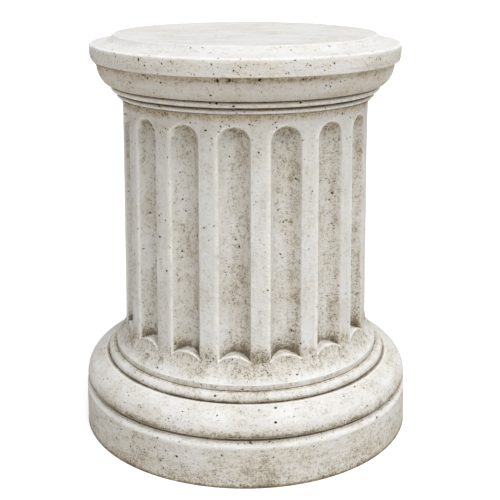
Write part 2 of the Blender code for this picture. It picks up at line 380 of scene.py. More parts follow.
# %% Spin
HALF_BAY_COLUMNS = 8
COLUMNS = 2 * HALF_BAY_COLUMNS * FLUTE_COUNT
SEAM_MERGE = 0.02

stone = bmesh.new()
chain = [stone.verts.new((radius, 0.0, height)) for radius, height in outline]
links = [stone.edges.new(pair) for pair in zip(chain, chain[1:])]
bmesh.ops.spin(stone, geom=chain + links, cent=(0, 0, 0), axis=(0, 0, 1), angle=math.tau,
               steps=COLUMNS, use_merge=True)
bmesh.ops.remove_doubles(stone, verts=stone.verts, dist=SEAM_MERGE)
bmesh.ops.holes_fill(stone, edges=[edge for edge in stone.edges if edge.is_boundary], sides=0)
bmesh.ops.recalc_face_normals(stone, faces=stone.faces)
print("turned body:", len(stone.verts), "points and", len(stone.faces), "faces")

# %% [markdown]
# ## The flutes
# A flute could be cut with a Boolean, as the solid model does it. Its edges would then cross
# the rows at odd angles and shade badly once they are softened. Here each point is moved
# instead, like clay under a template: the lattice is bent until one ring of edges runs exactly
# along the flute's rim, and only then is the hollow pressed in.

# %% Where the columns go
COLUMN_STOPS = (0.0, 4.3, 8.4, 12.0, 14.7, 15.9, 16.9, 20.8, 25.4)
FLUTE_TURN = math.radians(-4.6)
FRONT = math.radians(-90)


def column_turn(step):
    """Turn from the flute's middle for a signed even step, at most 8, away from it."""
    low = min(int(abs(step)), HALF_BAY_COLUMNS - 1)
    part = abs(step) - low
    stop = COLUMN_STOPS[low] + (COLUMN_STOPS[low + 1] - COLUMN_STOPS[low]) * part
    return math.copysign(stop / COLUMN_STOPS[-1] * HALF_BAY_TURN, step)


def smooth(value):
    """Ease from 0 to 1 as value goes from 0 to 1."""
    value = min(1.0, max(0.0, value))
    return value * value * (3 - 2 * value)


# %% Bending the lattice into an arch above and an arch below
RIM = HALF_FLUTE_TURN / HALF_BAY_TURN
BAY_LIMIT = 1 / RIM
HEAD_LIMIT = 1 + (LAST_ROW - FLUTE_HEAD) / HEAD_HALF_WIDTH
SILL_RISE = 6.7
SILL_ARCH = ((FLUTE_WIDTH / 2) ** 2 + SILL_RISE ** 2) / (2 * SILL_RISE)
LIFT_FADE_HEIGHT = 62.0
LIFT_START = FLARE_FOOT + 1.0


def round_head(across, above):
    """Pull the square top of a flute in to a half circle; both are shares of its half width."""
    u = min(1.0, abs(across))
    v = min(1.0, max(0.0, above))
    fade = 1 - smooth((abs(across) - 1) / (BAY_LIMIT - 1))
    fade *= 1 - smooth((above - 1) / (HEAD_LIMIT - 1))
    inward = (u * math.sqrt(1 - v * v / 2) - u) * fade
    downward = (v * math.sqrt(1 - u * u / 2) - v) * fade
    return math.copysign(abs(across) + inward, across), above + downward


def sill_lift(across, height):
    """How far the arch of the sill lifts a point; it fades out above and below."""
    x = min(1.0, abs(across)) * FLUTE_WIDTH / 2
    lift = math.sqrt(SILL_ARCH ** 2 - x ** 2) - (SILL_ARCH - SILL_RISE)
    if height < SILL_FOOT:
        return lift * smooth((height - LIFT_START) / (SILL_FOOT - LIFT_START))
    return lift * (1 - smooth((height - SILL_TOP) / LIFT_FADE_HEIGHT))


# %% Pressing the hollow in
FLUTE_DEPTH = 11.0
ARRIS_SOFTNESS = 0.5
SILL_EDGE = 2.0
SILL_EDGE_SHARE = 0.9
SILL_LEVELLING = 2.3
LEVEL_DEPTH = FLUTE_DEPTH / 1.6
SILL_TOP_FADE = 3.0
BORE = ((FLUTE_WIDTH / 2) ** 2 + FLUTE_DEPTH ** 2) / (2 * FLUTE_DEPTH)
RIM_SLOPE = (FLUTE_WIDTH / 2) / (BORE - FLUTE_DEPTH)
ROUND_OF_SHAFT = 1.0
SILL_STEPS = (0.0, 0.03, 0.09, 0.2, 0.37, 0.57, 0.76, 0.89, 0.96, 0.985)


def hollow(away, softness):
    """Depth of the flute at a share of its half width from the middle; 1 is the rim."""
    if away < 1:
        x = away * FLUTE_WIDTH / 2
        depth = math.sqrt(BORE ** 2 - x ** 2) - (BORE - FLUTE_DEPTH)
        depth += ROUND_OF_SHAFT * (1 - away ** 2)
    else:
        depth = -RIM_SLOPE * (away - 1) * FLUTE_WIDTH / 2
    return (depth + math.hypot(depth, softness)) / 2


def sill_share(height):
    """Share of the full depth that a row of the sill has reached."""
    if height <= SILL_FOOT:
        return 0.0
    if height >= SILL_TOP:
        return 1 - (1 - SILL_STEPS[-1]) * (1 - smooth((height - SILL_TOP) / SILL_TOP_FADE))
    row = (height - SILL_FOOT) / SILL_ROW_GAP
    low = int(row + 0.001)
    return SILL_STEPS[low] + (SILL_STEPS[min(low + 1, SILL_ROWS)] - SILL_STEPS[low]) * (row - low)


def fluted(turn, height, softness):
    """New turn, height and radius for a point of the plain shaft in one bay."""
    across = turn / HALF_FLUTE_TURN
    above = (height - SPRING) / HEAD_HALF_WIDTH
    if above > 0:
        across, above = round_head(across, above)
        new_height = SPRING + above * HEAD_HALF_WIDTH
        new_radius = shaft_surface(new_height) - hollow(math.hypot(across, above), softness)
        return across * HALF_FLUTE_TURN, new_height, new_radius
    depth = hollow(abs(across), softness) * sill_share(height)
    new_height = height + sill_lift(across, height)
    if SILL_FOOT <= height <= SILL_TOP:
        reach = min(1.0, depth / SILL_EDGE)
        edge_drop = SILL_EDGE * (1 - math.sqrt(1 - (1 - reach) ** 2))
        full = hollow(abs(across), softness)
        new_height -= edge_drop * min(1.0, full / (2 * SILL_EDGE)) * SILL_EDGE_SHARE
        new_height -= SILL_LEVELLING * sill_share(height) * min(1.0, full / LEVEL_DEPTH)
    return turn, new_height, shaft_surface(new_height) - depth


# %% Move every point of the turned body
SOFTNESS_WAVE = 22.0
SOFTNESS_TURNS = 4
SOFTNESS_SWING = 0.6

for vert in stone.verts:
    radius = math.hypot(vert.co.x, vert.co.y)
    height = vert.co.z
    if radius < SEAM_MERGE:
        continue
    angle = math.atan2(vert.co.y, vert.co.x)
    bay = round(angle / (2 * HALF_BAY_TURN))
    step = (angle - bay * 2 * HALF_BAY_TURN) / HALF_BAY_TURN * HALF_BAY_COLUMNS
    turn = column_turn(step)
    middle = bay * 2 * HALF_BAY_TURN + FRONT + FLUTE_TURN
    if FLARE_FOOT < height < LAST_ROW + 0.01:
        spot = Vector((math.cos(middle + turn) * SOFTNESS_TURNS,
                       math.sin(middle + turn) * SOFTNESS_TURNS, height / SOFTNESS_WAVE))
        softness = ARRIS_SOFTNESS * (1 + SOFTNESS_SWING * noise.noise(spot))
        turn, height, radius = fluted(turn, height, softness)
    vert.co = (radius * math.cos(middle + turn), radius * math.sin(middle + turn), height)
stone.normal_update()
print("fluted body reaches", round(max(vert.co.z for vert in stone.verts), 2), "mm up")

# %% [markdown]
# The slab is what hands and straps take hold of, so its lower edge has lost its corner at the
# two sides, more on the left. The points of the slab's side are drawn in towards the axis there,
# and the closer they are to the edge, the further they move.

# %% The slab's lower edge is worn rounder at its two sides
SLAB_FOOT = OVOLO_TOP + OVOLO_LIFT
EDGE_WEAR_HEIGHT = 7.5
LEFT_EDGE_WEAR = 3.0
RIGHT_EDGE_WEAR = 1.6
WEAR_START = 0.3
WEAR_FADE = 0.6

for vert in stone.verts:
    radius = math.hypot(vert.co.x, vert.co.y)
    above_edge = (vert.co.z - SLAB_FOOT) / EDGE_WEAR_HEIGHT
    if radius > OVOLO_RADIUS and 0 < above_edge < 1:
        wear = LEFT_EDGE_WEAR if vert.co.x < 0 else RIGHT_EDGE_WEAR
        wear *= smooth((abs(vert.co.x) / radius - WEAR_START) / WEAR_FADE) * (1 - above_edge) ** 2
        wear *= min(1.0, (radius - OVOLO_RADIUS) / (ABACUS_PROJECTION - 1))
        vert.co.x *= 1 - wear / radius
        vert.co.y *= 1 - wear / radius
stone.normal_update()

# %% [markdown]
# ## Wear
# A casting isn't a perfect solid of revolution. The mould was a little wavy, and years outdoors
# have rubbed the edges. Each point moves along its normal by about half a millimetre at most.
# At the sills and in the groove over the neck, where rows of points lie close together, all of
# them move straight inwards, so that no row can cross the next.

# %% Waviness of the casting
WAVE_LENGTH = 34.0
RIPPLE_LENGTH = 8.0
WAVE_DEPTH = 0.34
RIPPLE_DEPTH = 0.2
LEVEL_FACE = 0.9
LEVEL_SHARE = 0.35
SILL_ZONE = (SILL_FOOT - 1.5, SILL_TOP + SILL_RISE + 1.0)
NECK_ZONE = (LAST_ROW - 2.0, NECK_TOP + 0.2)

for vert in stone.verts:
    if vert.co.z < BASE_ARRIS * 0.6:
        continue
    wave = noise.noise(vert.co / WAVE_LENGTH)
    ripple = noise.noise(vert.co / RIPPLE_LENGTH + Vector((7.0, 0.0, 0.0)))
    inward = WAVE_DEPTH * (0.5 + 0.5 * wave) + RIPPLE_DEPTH * (0.5 + 0.5 * ripple)
    if vert.normal.z > LEVEL_FACE:
        inward *= LEVEL_SHARE
    way = vert.normal
    if any(low < vert.co.z < high for low, high in (SILL_ZONE, NECK_ZONE)):
        way = Vector((vert.co.x, vert.co.y, 0.0)).normalized()
    vert.co -= way * inward
stone.normal_update()

# %% [markdown]
# ## Pores and chips
# Air bubbles in the wet mix stay against the mould and leave small holes, called bug holes.
# The larger ones are real hollows here, cut with one Boolean from many small lumpy balls, and
# the finest ones are left to the material. The holes that catch the eye have their own list;
# the rest are thrown at the stone from outside, at random, like grit.

# %% The holes that catch the eye
# Each is (turn in degrees, height, radius of the hole); a turn of -90 faces the viewer.
NOTED_PORES = (
    (-154.7, 410.1, 0.9), (-146.9, 410.3, 1.1), (-138.8, 409.5, 1.2), (-127.1, 409.3, 1.9),
    (-124.6, 404.5, 1.2), (-117.7, 407.4, 1.3), (-100.5, 408.4, 1.3), (-91.3, 406.2, 1.4),
    (-93.5, 403.5, 1.2), (-68.6, 406.6, 1.3), (-61.3, 405.5, 1.0), (-59.8, 407.2, 1.3),
    (-63.5, 401.5, 1.0), (-37.2, 405.8, 1.2), (-99.0, 393.8, 1.9), (-95.0, 394.2, 2.1),
    (-97.2, 396.2, 1.1), (-85.0, 395.0, 2.2), (-86.1, 392.6, 1.3), (-70.1, 394.1, 1.4),
    (-101.8, 379.9, 1.5), (-120.0, 389.4, 1.5), (-136.6, 383.6, 1.2), (-61.0, 386.9, 1.1),
    (-59.2, 385.6, 1.3), (-55.2, 389.4, 1.1), (-100.7, 371.1, 1.5), (-94.2, 368.9, 1.4),
    (-68.5, 370.8, 1.4), (-93.2, 361.8, 1.2), (-113.5, 350.3, 1.3), (-106.7, 343.8, 1.7),
    (-106.9, 341.9, 1.3), (-104.1, 336.6, 1.2), (-100.2, 348.1, 1.2), (-88.1, 350.3, 1.4),
    (-77.2, 351.6, 1.3), (-76.7, 346.9, 1.2), (-72.2, 331.1, 1.2), (-84.3, 324.1, 1.3),
    (-126.3, 342.0, 1.2), (-95.5, 116.7, 1.2), (-103.8, 116.4, 1.3), (-105.0, 113.1, 1.1),
    (-65.2, 128.3, 1.3), (-59.5, 112.3, 1.2), (-80.7, 104.0, 1.2), (-68.0, 140.3, 1.6),
    (-111.0, 93.9, 1.1), (-111.3, 72.8, 1.4), (-127.1, 67.3, 1.1), (-151.3, 71.1, 1.2),
    (-149.7, 73.6, 1.1), (-134.3, 72.1, 1.1), (-115.5, 65.3, 1.1), (-80.2, 67.9, 1.9),
    (-79.4, 77.6, 1.8), (-80.4, 78.0, 1.3), (-121.9, 38.8, 1.2), (-120.3, 31.4, 1.3),
    (-124.4, 25.4, 1.4), (-116.2, 31.5, 1.3), (-115.8, 29.6, 1.1), (-112.2, 27.8, 1.9),
    (-118.1, 18.9, 1.1), (-130.7, 22.0, 1.4), (-135.2, 35.9, 1.2), (-141.6, 37.1, 1.2),
)
# The same on the top, as (turn, distance from the middle, radius of the hole).
NOTED_TOP_PORES = (
    (-123.0, 157.4, 1.0), (-91.3, 157.6, 1.3), (-102.5, 141.2, 1.1), (-106.1, 136.2, 1.0),
    (-53.2, 156.4, 1.3), (-40.7, 155.8, 1.2), (-22.8, 37.4, 1.0),
)
# Bites out of the worn edge of the disc, as (turn, distance from the middle, size).
CHIPS = (
    (-40.0, 135.2, 1.6), (-37.6, 136.4, 1.2), (-34.2, 135.4, 2.2), (-31.6, 137.5, 1.3),
    (-28.6, 136.0, 1.8), (-24.8, 135.3, 1.4), (-166.0, 135.8, 1.6), (-171.5, 137.0, 1.9),
    (-176.5, 135.6, 1.4), (62.0, 135.5, 1.9), (118.0, 135.8, 1.5),
)

# %% Random pores
random.seed(16)
PORE_GAP = 1.0


def pore_share(place, normal):
    """How ready a place is to hold pores, from 0 to 1."""
    height = place.z
    radius = math.hypot(place.x, place.y)
    if normal.z < -0.7:
        return 0.0
    if height > OVOLO_TOP and normal.z < 0.5:
        return 1.0
    if height > OVOLO_TOP:
        return 0.1 if radius < DISC_RADIUS else 0.3
    if height > UPPER_ASTRAGAL_TOP:
        return 0.5
    if height > NECK_TOP:
        return 0.6
    if height > SHAFT_FOOT:
        inside = shaft_surface(height) - radius > 2.0
        return 0.7 if inside else 0.4
    if height > FLARE_FOOT:
        return 0.35
    if height > SHOULDER_TOP:
        return 0.25
    return 0.9


# %% Throw them at the stone from outside
SIDE_TRIES = 2500
TOP_TRIES = 700
SMALLEST_PORE = 0.45
PORE_SHRINK = 0.88
PORE_SPREAD = 1.0
SMALL_ONES = 2.6
SATELLITES = 2
SATELLITE_TURN = 1.3
SATELLITE_RISE = 3.0
SATELLITE_SIZES = (0.45, 0.8)
FAR_OUT = 400.0
UP = Vector((0, 0, 1))


def outward(turn):
    return Vector((math.cos(turn), math.sin(turn), 0.0))


def shot_from_side(turn, height, size):
    return outward(turn) * FAR_OUT + UP * height, -outward(turn), size


def shot_from_above(turn, reach, size):
    return outward(turn) * reach + UP * (PEDESTAL_TOP + FAR_OUT), -UP, size


def random_size():
    return SMALLEST_PORE + PORE_SPREAD * random.random() ** SMALL_ONES


noted = [shot_from_side(math.radians(turn), height, PORE_SHRINK * size)
         for turn, height, size in NOTED_PORES]
noted += [shot_from_above(math.radians(turn), reach, PORE_SHRINK * size)
          for turn, reach, size in NOTED_TOP_PORES]
noted += [shot_from_side(math.radians(turn + random.gauss(0, SATELLITE_TURN)),
                         height + random.gauss(0, SATELLITE_RISE), random.uniform(*SATELLITE_SIZES))
          for turn, height, size in NOTED_PORES for satellite in range(SATELLITES)]
thrown = [shot_from_side(random.uniform(0, math.tau), random.uniform(1, PEDESTAL_TOP),
                         random_size())
          for shot in range(SIDE_TRIES)]
thrown += [shot_from_above(random.uniform(0, math.tau),
                           PLINTH_RADIUS * math.sqrt(random.random()), random_size())
           for shot in range(TOP_TRIES)]

surface = BVHTree.FromBMesh(stone)
pores = []
for number, (start, direction, size) in enumerate(noted + thrown):
    place, normal, face, distance = surface.ray_cast(start, direction)
    chance = random.random()
    if place is None or (number >= len(noted) and chance > pore_share(place, normal)):
        continue
    if all((place - other).length > size + other_size + PORE_GAP
           for other, other_normal, other_size in pores):
        pores.append((place, normal, size))
print(len(pores), "pores, the largest", round(2 * max(pore[2] for pore in pores), 1), "mm across")

# %% The lumps that cut them
PORE = 1
CHIP = 2
LUMP_GRAIN = 2.2
LUMP_LENGTH = 1.1
LUMP_WIDTH = (0.45, 0.6)
lumps = bmesh.new()


def add_lump(place, normal, size, sink, squash, roughness, kind):
    """One lumpy ball at place, flattened along the normal and pushed in by sink."""
    old = len(lumps.faces)
    made = bmesh.ops.create_icosphere(lumps, subdivisions=1, radius=size)["verts"]
    for vert in made:
        vert.co *= 1 + roughness * noise.noise(vert.co * (LUMP_GRAIN / size) + place)
    width = LUMP_WIDTH[0] + LUMP_WIDTH[1] * random.random()
    shape = Matrix.Diagonal((LUMP_LENGTH, width, squash, 1.0))
    twist = Matrix.Rotation(random.uniform(0, math.pi), 4, "Z")
    facing = normal.to_track_quat("Z", "Y").to_matrix().to_4x4()
    centre = Matrix.Translation(place - normal * size * sink)
    bmesh.ops.transform(lumps, matrix=centre @ facing @ twist @ shape, verts=made)
    lumps.faces.ensure_lookup_table()
    for face in lumps.faces[old:]:
        face.material_index = kind


for place, normal, size in pores:
    add_lump(place, normal, size, sink=0.12, squash=0.8, roughness=0.4, kind=PORE)
for turn, reach, size in CHIPS:
    start, direction, size = shot_from_above(math.radians(turn), reach, size)
    place, normal, face, distance = surface.ray_cast(start, direction)
    add_lump(place, normal, size, sink=-0.45, squash=0.9, roughness=0.5, kind=CHIP)
bmesh.ops.recalc_face_normals(lumps, faces=lumps.faces)

# %% Cut them out of the stone


def finish_mesh(mesh, name):
    """Scale a bmesh from millimetres to metres and put it in the scene."""
    bmesh.ops.scale(mesh, vec=(MM, MM, MM), verts=mesh.verts)
    data = bpy.data.meshes.new(name)
    mesh.to_mesh(data)
    mesh.free()
    thing = bpy.data.objects.new(name, data)
    bpy.context.scene.collection.objects.link(thing)
    return thing


pedestal = finish_mesh(stone, "pedestal_stone")
cutter = finish_mesh(lumps, "lumps")
for thing in (pedestal, cutter):
    for name in ("stone", "pore", "chip"):
        thing.data.materials.append(bpy.data.materials.new(name))
cut = pedestal.modifiers.new("pores", "BOOLEAN")
cut.operation = "DIFFERENCE"
cut.solver = "MANIFOLD"
cut.object = cutter
bpy.context.view_layer.update()
carved = bpy.data.meshes.new_from_object(
    pedestal.evaluated_get(bpy.context.evaluated_depsgraph_get()))
pedestal.modifiers.clear()
pedestal.data = carved
bpy.data.objects.remove(cutter)
print("after the cut:", len(carved.vertices), "points and",
      sum(len(face.vertices) - 2 for face in carved.polygons), "triangles")

# %% [markdown]
# ## Where dirt settles, and where shade is painted
# Rain washes the open faces and leaves dirt in the hollows, and the hollows also get painted
# shade. The script measures how sheltered each point is: from each point it looks out in a fan
# of directions and counts how many are blocked by the stone itself. The result stands for dirt
# and painted shade together, and is kept on the mesh as a point attribute that the material reads.

# %% Shelter of each point
LOOK_FAR = 0.04
LOOK_START = 0.0005
LOOKS = 20
FAR_LOSS = 0.6


def look_directions(count):
    """Directions over a half sphere, closer together round the pole, as light falls."""
    golden = math.pi * (3 - math.sqrt(5))
    directions = []
    for index in range(count):
        share = (index + 0.5) / count
        reach = math.sqrt(share)
        directions.append(Vector((reach * math.cos(index * golden),
                                  reach * math.sin(index * golden), math.sqrt(1 - share))))
    return directions


carved.update()
tree = BVHTree.FromPolygons([vert.co for vert in carved.vertices],
                            [face.vertices[:] for face in carved.polygons])
fan = look_directions(LOOKS)
shelter = []
for vert in carved.vertices:
    turn_out = vert.normal.to_track_quat("Z", "Y").to_matrix()
    origin = vert.co + vert.normal * LOOK_START
    blocked = 0.0
    for direction in fan:
        place, normal, face, distance = tree.ray_cast(origin, turn_out @ direction, LOOK_FAR)
        if place is not None:
            blocked += 1 - FAR_LOSS * distance / LOOK_FAR
    shelter.append(blocked / LOOKS)
print("shelter: mean", round(sum(shelter) / len(shelter), 2), "most", round(max(shelter), 2))

# %% [markdown]
# Shelter alone isn't the whole story. Water runs down from the capital and stains the neck, it
# stands at the feet of the flutes, and rain splashes soil up against the plinth. Each moulding
# gets its own amount of dirt, plus bands at certain heights, and the top is washed clean. Painted
# shade is added as well: on the left, the side away from the sun, on the flute walls that face
# away from it, in the heads of the flutes, on the flare, on and under the torus, under the slab,
# and as a painted contact shadow along the plinth's foot.

# %% Helpers for the bands of dirt and painted shade


def near(value, centre, width):
    """1 where value is at centre, easing to 0 about two widths away."""
    return math.exp(-((value - centre) / width) ** 2)


def lines(height, bands):
    """Sum of bands of dirt and painted shade, each (height of its middle, its width, its strength).
    """
    return sum(strength * near(height, middle, width) for middle, width, strength in bands)


def across_flute(turn):
    """Where a turn in degrees lies in its flute, from -1 at one rim to 1 at the other."""
    bay = 360 / FLUTE_COUNT
    middle = math.degrees(FRONT + FLUTE_TURN)
    return ((turn - middle + bay / 2) % bay - bay / 2) / math.degrees(HALF_FLUTE_TURN)


# %% Dark spots
# Beside one flute the foot of the shaft is thick with them, up to a level line.
PATCH_TURN = -83.4
PATCH_HALF_WIDTH = 5.2
PATCH_FADE = 1.6
PATCH_TOP = 128.0
PATCH_TOP_FADE = 2.0
PATCH_FOOT_FADE = 10.0
SLAB_SPOTS = 0.2
NECK_SPOTS = -0.1
SHAFT_SPOTS = -0.04
BASE_SPOTS = -0.25
SPLASH_SPOTS = 0.2
NECK_SPOTS_FOOT = NECK_TOP - 14.0


def spotted(place):
    """How thickly dark spots lie at a place, in millimetres; 1 is thick, below 0 is few."""
    height = place.z
    turn = math.degrees(math.atan2(place.y, place.x))
    if height > OVOLO_TOP:
        return SLAB_SPOTS if height < ABACUS_TOP - 1 else 0.0
    if height > NECK_SPOTS_FOOT:
        return NECK_SPOTS
    if height > FLARE_FOOT:
        beside = smooth((PATCH_HALF_WIDTH - abs(turn - PATCH_TURN)) / PATCH_FADE)
        along = smooth((height - FLARE_FOOT - PATCH_FOOT_FADE) / PATCH_FOOT_FADE)
        along *= smooth((PATCH_TOP - height) / PATCH_TOP_FADE)
        return SHAFT_SPOTS + (1 - SHAFT_SPOTS) * beside * along
    return BASE_SPOTS + SPLASH_SPOTS * max(0.0, 1 - height / PLINTH_HEIGHT)


# %% Bands of dirt and painted shade from the top down: height of the middle, width and strength
# The bands at the foot of the slab and under the torus are dirt with painted shade.
SLAB_BANDS = ((OVOLO_TOP, 3.5, 0.3),)
OVOLO_BANDS = ((OVOLO_TOP, 4.0, 0.32), (UPPER_ASTRAGAL_TOP, 6.0, 0.12))
NECK_BANDS = ((NECK_TOP - 2, 6.2, 0.44), (FLUTE_HEAD + 1.5, 2.0, -0.45))
BASE_BANDS = ((SHOULDER_TOP + 0.5, 7.5, 0.9), (TORUS_TOP + 0.5, 2.0, 0.05), (BEAD_TOP, 2.0, 0.1))
# Its band at height 0 is a painted contact shadow along the plinth's foot.
PLINTH_BANDS = ((SHOULDER_TOP + 0.8, 2.9, 0.8), (0.0, 2.6, 0.9))

# %% Grime and painted shade of the capital: the washed top, the slab, the ovolo and the astragals
TOP_GRIME = -0.1
TOP_WASH = 0.3
SHADE = 0.16
SHADE_START = 0.4
SHADE_FADE = 0.5
SLAB_GRIME = 0.12
SLAB_SHADE = 0.6
OVOLO_GRIME = 0.1
ASTRAGAL_GRIME = -0.05
ASTRAGAL_DEPTH = 3.2


def shaded(place):
    """Painted shade on the left, the side away from the sun."""
    return SHADE * smooth((-place.x / math.hypot(place.x, place.y) - SHADE_START) / SHADE_FADE)


def capital_stain_and_shade(place, rise):
    height = place.z
    if height > ABACUS_TOP - 0.8:
        return TOP_GRIME - TOP_WASH * smooth(rise)
    if height > OVOLO_TOP + OVOLO_LIFT:
        return SLAB_GRIME + SLAB_SHADE * shaded(place) + lines(height, SLAB_BANDS)
    if height > UPPER_ASTRAGAL_TOP + 1:
        return OVOLO_GRIME + shaded(place) + lines(height, OVOLO_BANDS)
    reach = LOWER_ASTRAGAL_REACH if height < LOWER_ASTRAGAL_TOP else UPPER_ASTRAGAL_REACH
    depth = reach - math.hypot(place.x, place.y)
    return ASTRAGAL_GRIME + shaded(place) + smooth(depth / ASTRAGAL_DEPTH)


# %% Grime and painted shade of the shaft: the heads of the flutes, their hollows and their feet
HEAD_FOOT = SHAFT_HEAD - 30.0
HOLLOW_GRIME = 0.035
HOLLOW_LIMIT = 5.0
VAULT_SHADE = 0.36
HEAD_WALL_SHADE = 0.15
SHAFT_GRIME = 0.05
SHAFT_SHADE = 0.6
SHAFT_WALL_SHADE = 0.16
SHAFT_SPOT_GRIME = 0.26
FLARE_GRIME_AND_SHADE = 0.31
FLARE_FADE = 8.0
PUDDLE_GRIME = 0.12
PUDDLE_START = SILL_FOOT - 5.0
PUDDLE_END = SILL_FOOT + 4.0
PUDDLE_FADE = 22.0
SILL_WASH = 1.3
SILL_WASH_LOSS = 0.06
WASHED_RISE = 0.35
LEAST_HOLLOW = 0.8
HOLLOW_FADE = 1.2


def shaft_stain_and_shade(place, rise):
    height = place.z
    hollow_in = max(0.0, shaft_surface(height) - math.hypot(place.x, place.y))
    # Painted shade on the wall of each flute that faces away from the sun.
    wall_shade = min(1.0, hollow_in) * across_flute(math.degrees(math.atan2(place.y, place.x)))
    sunk = HOLLOW_GRIME * min(hollow_in, HOLLOW_LIMIT)
    if height > HEAD_FOOT:
        # Painted shadow inside the round head of each flute, under its arch.
        vault_shade = VAULT_SHADE * smooth((height - SPRING) / HEAD_HALF_WIDTH) * smooth(hollow_in)
        return shaded(place) + lines(height, NECK_BANDS) + sunk + vault_shade + HEAD_WALL_SHADE * wall_shade
    # The flare and the feet of the flutes are darker: dirt, with painted shade for the sky that the
    # shaft and capital hide.
    foot = FLARE_GRIME_AND_SHADE * smooth((height - FLARE_FOOT) / FLARE_FADE)
    foot += PUDDLE_GRIME * smooth((height - PUDDLE_START) / FLARE_FADE)
    foot *= 1 - smooth((height - PUDDLE_END) / PUDDLE_FADE)
    level = SHAFT_GRIME + SHAFT_SHADE * shaded(place) + sunk + foot + SHAFT_WALL_SHADE * wall_shade
    level += SHAFT_SPOT_GRIME * spotted(place)
    washed = SILL_WASH - SILL_WASH_LOSS * min(hollow_in, 10.0)
    washed *= smooth((rise - WASHED_RISE) / WASHED_RISE)
    return level - washed * smooth((hollow_in - LEAST_HOLLOW) / HOLLOW_FADE)


# %% Grime and painted shade of the base, and of any place
TORUS_GRIME_AND_SHADE = 0.16
PLINTH_GRIME = 0.32
SPLASH_GRIME = 0.17
SPLASH_HEIGHT = 34.0
SHOULDER_WASH = 0.42


def stain_and_shade(place, rise):
    """Extra grime and painted shade at a place, in millimetres; rise is how far its face looks up.
    """
    height = place.z
    if height > NECK_TOP:
        return capital_stain_and_shade(place, rise)
    if height > FLARE_FOOT:
        return shaft_stain_and_shade(place, rise)
    if height > SHOULDER_TOP + 0.5:
        # The torus is dirt with painted shade, for the sky that the shaft and capital hide.
        return TORUS_GRIME_AND_SHADE + lines(height, BASE_BANDS)
    splash = SPLASH_GRIME * max(0.0, 1 - height / SPLASH_HEIGHT)
    washed = SHOULDER_WASH * smooth(2 * rise)
    # Its bands hold the dirt and painted shade under the torus, and a painted contact shadow along
    # the foot.
    return PLINTH_GRIME + splash + lines(height, PLINTH_BANDS) - washed


# %% Keep them on the mesh
TROWEL_DEPTH = 1.0
TROWEL_FADE = 0.8
DRIP_FADE = 20.0


def keep(name, domain, values):
    """Store one number per point or face on the carved mesh."""
    layer = carved.attributes.new(name, "FLOAT", domain)
    layer.data.foreach_set("value", np.asarray(values, np.float32))


# Grime holds dirt and painted shade together: the shelter of each point plus the extra of its
# place.
grime_and_shade = [min(1.0, max(0.0, sheltered + stain_and_shade(vert.co / MM, vert.normal.z)))
         for vert, sheltered in zip(carved.vertices, shelter)]
keep("grime_and_shade", "POINT", grime_and_shade)
keep("spotted", "POINT", [spotted(vert.co / MM) for vert in carved.vertices])
keep("trowel", "POINT", [smooth((vert.co.z / MM - PEDESTAL_TOP + TROWEL_DEPTH) / TROWEL_FADE)
                         for vert in carved.vertices])
keep("dripped", "POINT", [smooth((vert.co.z / MM - SPRING) / DRIP_FADE)
                          for vert in carved.vertices])
keep("upright", "POINT", [FLARE_FOOT < vert.co.z / MM < NECK_TOP for vert in carved.vertices])
kinds = [face.material_index for face in carved.polygons]
keep("pore", "FACE", [kind == PORE for kind in kinds])
keep("chip", "FACE", [kind == CHIP for kind in kinds])
print(kinds.count(PORE), "faces lie inside pores and", kinds.count(CHIP), "in chips")

# %% [markdown]
# Edges that stick out are the opposite of hollows: hands, rain and frost rub them clean and
# pale, and they also get a painted highlight. How sharply the stone bends outwards along each
# mesh edge shows where they are. Faces that look to the right, towards the sun, are rubbed more
# and get more of the painted highlight, which picks out the left rim of each flute, and there
# the wear and highlight spread to the next points, so that the rim is wide enough to show.

# %% Wear and painted highlight of each point
GENTLEST_BEND = 4.0
SHARPEST_BEND = 2.0
SHORTEST_EDGE = 0.15
WIDEST_RUB = 2.5
EVEN_RUB = 0.75
SUNWARD_HIGHLIGHT = 1.2
LEAST_RUB = 0.2
RIM_HIGHLIGHT_START = 0.4
RIM_HIGHLIGHT_SPREAD = 0.6
ASTRAGAL_LIGHT = 3.5
HEAD_WEAR_AND_HIGHLIGHT = 2.0
RIM_START = SILL_FOOT + 8.0

points = np.empty(len(carved.vertices) * 3)
carved.vertices.foreach_get("co", points)
points = points.reshape(-1, 3) / MM
normals = np.empty(len(carved.vertices) * 3)
carved.vertex_normals.foreach_get("vector", normals)
normals = normals.reshape(-1, 3)
ends = np.empty(len(carved.edges) * 2, np.int32)
carved.edges.foreach_get("vertices", ends)
near_end, far_end = ends.reshape(-1, 2).T
along = points[far_end] - points[near_end]
length = np.linalg.norm(along, axis=1)
usable = length > SHORTEST_EDGE
bend = np.zeros(len(points))
for end, sign in ((near_end, -2.0), (far_end, 2.0)):
    curvature = sign * (normals[end] * along).sum(axis=1) / np.maximum(length, SHORTEST_EDGE) ** 2
    np.maximum.at(bend, end[usable], curvature[usable])
for face, kind in zip(carved.polygons, kinds):
    if kind:
        bend[list(face.vertices)] = 0.0
wear_and_highlight = np.clip((bend - 1 / GENTLEST_BEND) / (1 / SHARPEST_BEND - 1 / GENTLEST_BEND), 0, 1)
wear_and_highlight[points[:, 2] < 3 * BASE_ARRIS] = 0.0
outwards = points[:, :2] / np.maximum(np.linalg.norm(points[:, :2], axis=1), 1.0)[:, None]
sideways = outwards[:, 0] * normals[:, 1] - outwards[:, 1] * normals[:, 0]
# Faces that look to the right, towards the sun, get more: a painted highlight.
wear_and_highlight *= np.clip(EVEN_RUB + SUNWARD_HIGHLIGHT * sideways, LEAST_RUB, 1.0)
